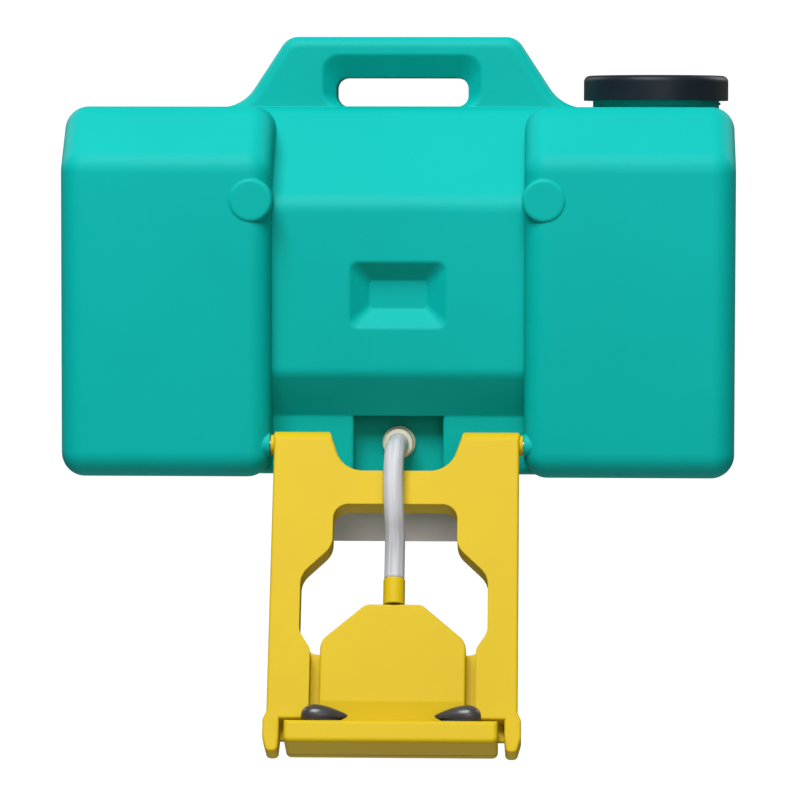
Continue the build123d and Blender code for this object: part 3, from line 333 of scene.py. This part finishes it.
# ---------------------------------------------------------------- arm
# Frame, spray manifold and nipple are injection moulded in the same yellow plastic, bright and
# evenly matt. The bushes on the pivot screws are moulded in the same colour.
yellow = moulded("yellow_arm_plastic", light=(0.58, 0.405, 0.007), dark=(0.54, 0.37, 0.005),
                 rough=0.48, drift=8, grain=1100, grain_depth=0.00008, waves=0.0005, level=0.1,
                 edge=0.0014)
dress(yellow, "arm_frame", "manifold_body", "manifold_back", "hose_nipple", "pivot_bush_left",
      "pivot_bush_right")

# ---------------------------------------------------------------- spray heads
# Two dark leaf-shaped mouldings on the bar's top, thick and round at the outer end and thin at the
# inner one, each with seven fine holes drilled through its face for the water.
brown = moulded("dark_nozzle_plastic", light=(0.060, 0.052, 0.046), dark=(0.034, 0.030, 0.028),
                rough=0.3, drift=60, grain=1600, grain_depth=0.00006, level=0.5)
head_half_sizes = (0.0182, 0.0092, 0.0078)
head_seat = -0.0055
head_taper = 1.1
jet_count = 7
jet_radius = 0.0007
jet_ring_radius = 0.0024
jet_height = 0.0074
arm_lean = math.radians(-25)
pivot = Vector((0, -0.276, -0.084))
for side, name in ((-1, "spray_head_left"), (1, "spray_head_right")):
    bpy.ops.mesh.primitive_uv_sphere_add(segments=72, ring_count=36, radius=1)
    head = bpy.context.object
    head.name = name
    head.scale = head_half_sizes
    bpy.ops.object.transform_apply(scale=True)
    bpy.ops.object.mode_set(mode="EDIT")
    bpy.ops.mesh.select_all(action="SELECT")
    bpy.ops.mesh.bisect(plane_co=(0, 0, head_seat), plane_no=(0, 0, 1), clear_inner=True, use_fill=True)
    bpy.ops.object.mode_set(mode="OBJECT")
    leaf = head.modifiers.new("leaf", "SIMPLE_DEFORM")
    leaf.deform_method = "TAPER"
    leaf.deform_axis = "X"
    leaf.factor = head_taper * side
    bpy.ops.object.modifier_apply(modifier=leaf.name)
    drills = []
    for turn in range(jet_count):
        reach = jet_ring_radius if turn else 0.0
        angle = turn * 2 * math.pi / (jet_count - 1)
        across = reach * math.cos(angle)
        back = reach * math.sin(angle)
        bpy.ops.mesh.primitive_cylinder_add(vertices=16, radius=jet_radius, depth=0.006,
                                            location=(across, back, jet_height))
        drills.append(bpy.context.object)
    for drill in drills:
        drill.select_set(True)
    bpy.ops.object.join()
    drill = bpy.context.object
    bpy.ops.object.select_all(action="DESELECT")
    bpy.context.view_layer.objects.active = head
    head.select_set(True)
    jets = head.modifiers.new("jets", "BOOLEAN")
    jets.operation = "DIFFERENCE"
    jets.solver = "EXACT"
    jets.object = drill
    bpy.ops.object.modifier_apply(modifier=jets.name)
    bpy.data.objects.remove(drill)
    foot = Matrix.Translation((side * 0.0519, -0.0225, -0.2335))
    head.matrix_world = Matrix.Translation(pivot) @ Matrix.Rotation(arm_lean, 4, "X") @ foot
    bpy.ops.object.transform_apply(location=True, rotation=True, scale=True)
    bpy.ops.object.shade_smooth_by_angle(angle=math.radians(35))
    head.data.materials.clear()
    head.data.materials.append(brown)
    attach(head, "arm")
    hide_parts(name.replace("spray_head", "nozzle"))
    head.select_set(False)

# ---------------------------------------------------------------- outlet, seals and inner fittings
# The outlet socket is cream plastic pushed through the tank's wall. Its back nut and strainer are
# natural nylon, as are the spray heads' nuts and the vent's filter, and all seals are black rubber.
cream = moulded("cream_outlet_plastic", light=(0.60, 0.60, 0.44), dark=(0.47, 0.47, 0.33),
                rough=0.38, drift=90, grain=1500, grain_depth=0.0001)
dress(cream, "outlet_socket")
rubber = moulded("black_rubber", light=(0.030, 0.030, 0.031), dark=(0.018, 0.018, 0.019),
                 rough=0.62, drift=60, grain=1800, grain_depth=0.0001)
dress(rubber, "cap_gasket", "outlet_washer", "manifold_gasket", "nipple_seal", "nozzle_seals")
nylon = moulded("natural_nylon", light=(0.78, 0.77, 0.70), dark=(0.68, 0.67, 0.60),
                rough=0.4, drift=80, grain=1500, grain_depth=0.0001)
dress(nylon, "outlet_nut", "outlet_strainer", "nozzle_nuts", "vent_filter")

# ---------------------------------------------------------------- screws, rivets and inserts
# Screws, washers and rivets are bright stainless steel with fine turning marks. The threaded
# inserts moulded into the tank are plain brass.


def metal(name, light, dark, rough, brush):
    """Bare metal: fine turning marks round Z, with duller patches."""
    made = bpy.data.materials.new(name)
    made.use_nodes = True
    web, wire = made.node_tree.nodes, made.node_tree.links
    shader = web["Principled BSDF"]
    shader.inputs["Metallic"].default_value = 1.0
    spot = web.new("ShaderNodeTexCoord")
    cloud = web.new("ShaderNodeTexNoise")
    cloud.inputs["Scale"].default_value = 160
    cloud.inputs["Detail"].default_value = 4.0
    wire.new(spot.outputs["Object"], cloud.inputs["Vector"])
    tone = web.new("ShaderNodeValToRGB")
    tone.color_ramp.elements[0].color = (*dark, 1)
    tone.color_ramp.elements[1].color = (*light, 1)
    wire.new(cloud.outputs["Fac"], tone.inputs["Fac"])
    wire.new(tone.outputs["Color"], shader.inputs["Base Color"])
    dull = web.new("ShaderNodeMapRange")
    dull.inputs["To Min"].default_value = rough - 0.08
    dull.inputs["To Max"].default_value = rough + 0.12
    wire.new(cloud.outputs["Fac"], dull.inputs["Value"])
    wire.new(dull.outputs["Result"], shader.inputs["Roughness"])
    squeeze = web.new("ShaderNodeMapping")
    squeeze.inputs["Scale"].default_value = (1, 1, brush)
    wire.new(spot.outputs["Object"], squeeze.inputs["Vector"])
    marks = web.new("ShaderNodeTexNoise")
    marks.inputs["Scale"].default_value = 400
    wire.new(squeeze.outputs["Vector"], marks.inputs["Vector"])
    scratch = web.new("ShaderNodeBump")
    scratch.inputs["Strength"].default_value = 0.3
    scratch.inputs["Distance"].default_value = 0.00005
    wire.new(marks.outputs["Fac"], scratch.inputs["Height"])
    wire.new(scratch.outputs["Normal"], shader.inputs["Normal"])
    return made


steel = metal("stainless_steel", light=(0.70, 0.69, 0.67), dark=(0.52, 0.51, 0.50),
              rough=0.3, brush=12)
dress(steel, "pivot_screw_left", "pivot_screw_right", "manifold_screws", "flow_discs",
      "bracket_rivets", "base_washers", "base_screws")
brass = metal("plain_brass", light=(0.78, 0.58, 0.27), dark=(0.60, 0.42, 0.17),
              rough=0.34, brush=12)
dress(brass, "pivot_insert_left", "pivot_insert_right", "base_inserts")

# ---------------------------------------------------------------- wall bracket
# Sheet steel, cut, folded and riveted, with a warm grey powder coat. Only the skirt at its front
# shows from the user's side, through the arm's window.
coat = moulded("grey_powder_coat", light=(0.63, 0.56, 0.51), dark=(0.57, 0.50, 0.455),
               rough=0.55, drift=20, grain=700, grain_depth=0.00015)
dress(coat, "wall_bracket", "gusset_left", "gusset_right")
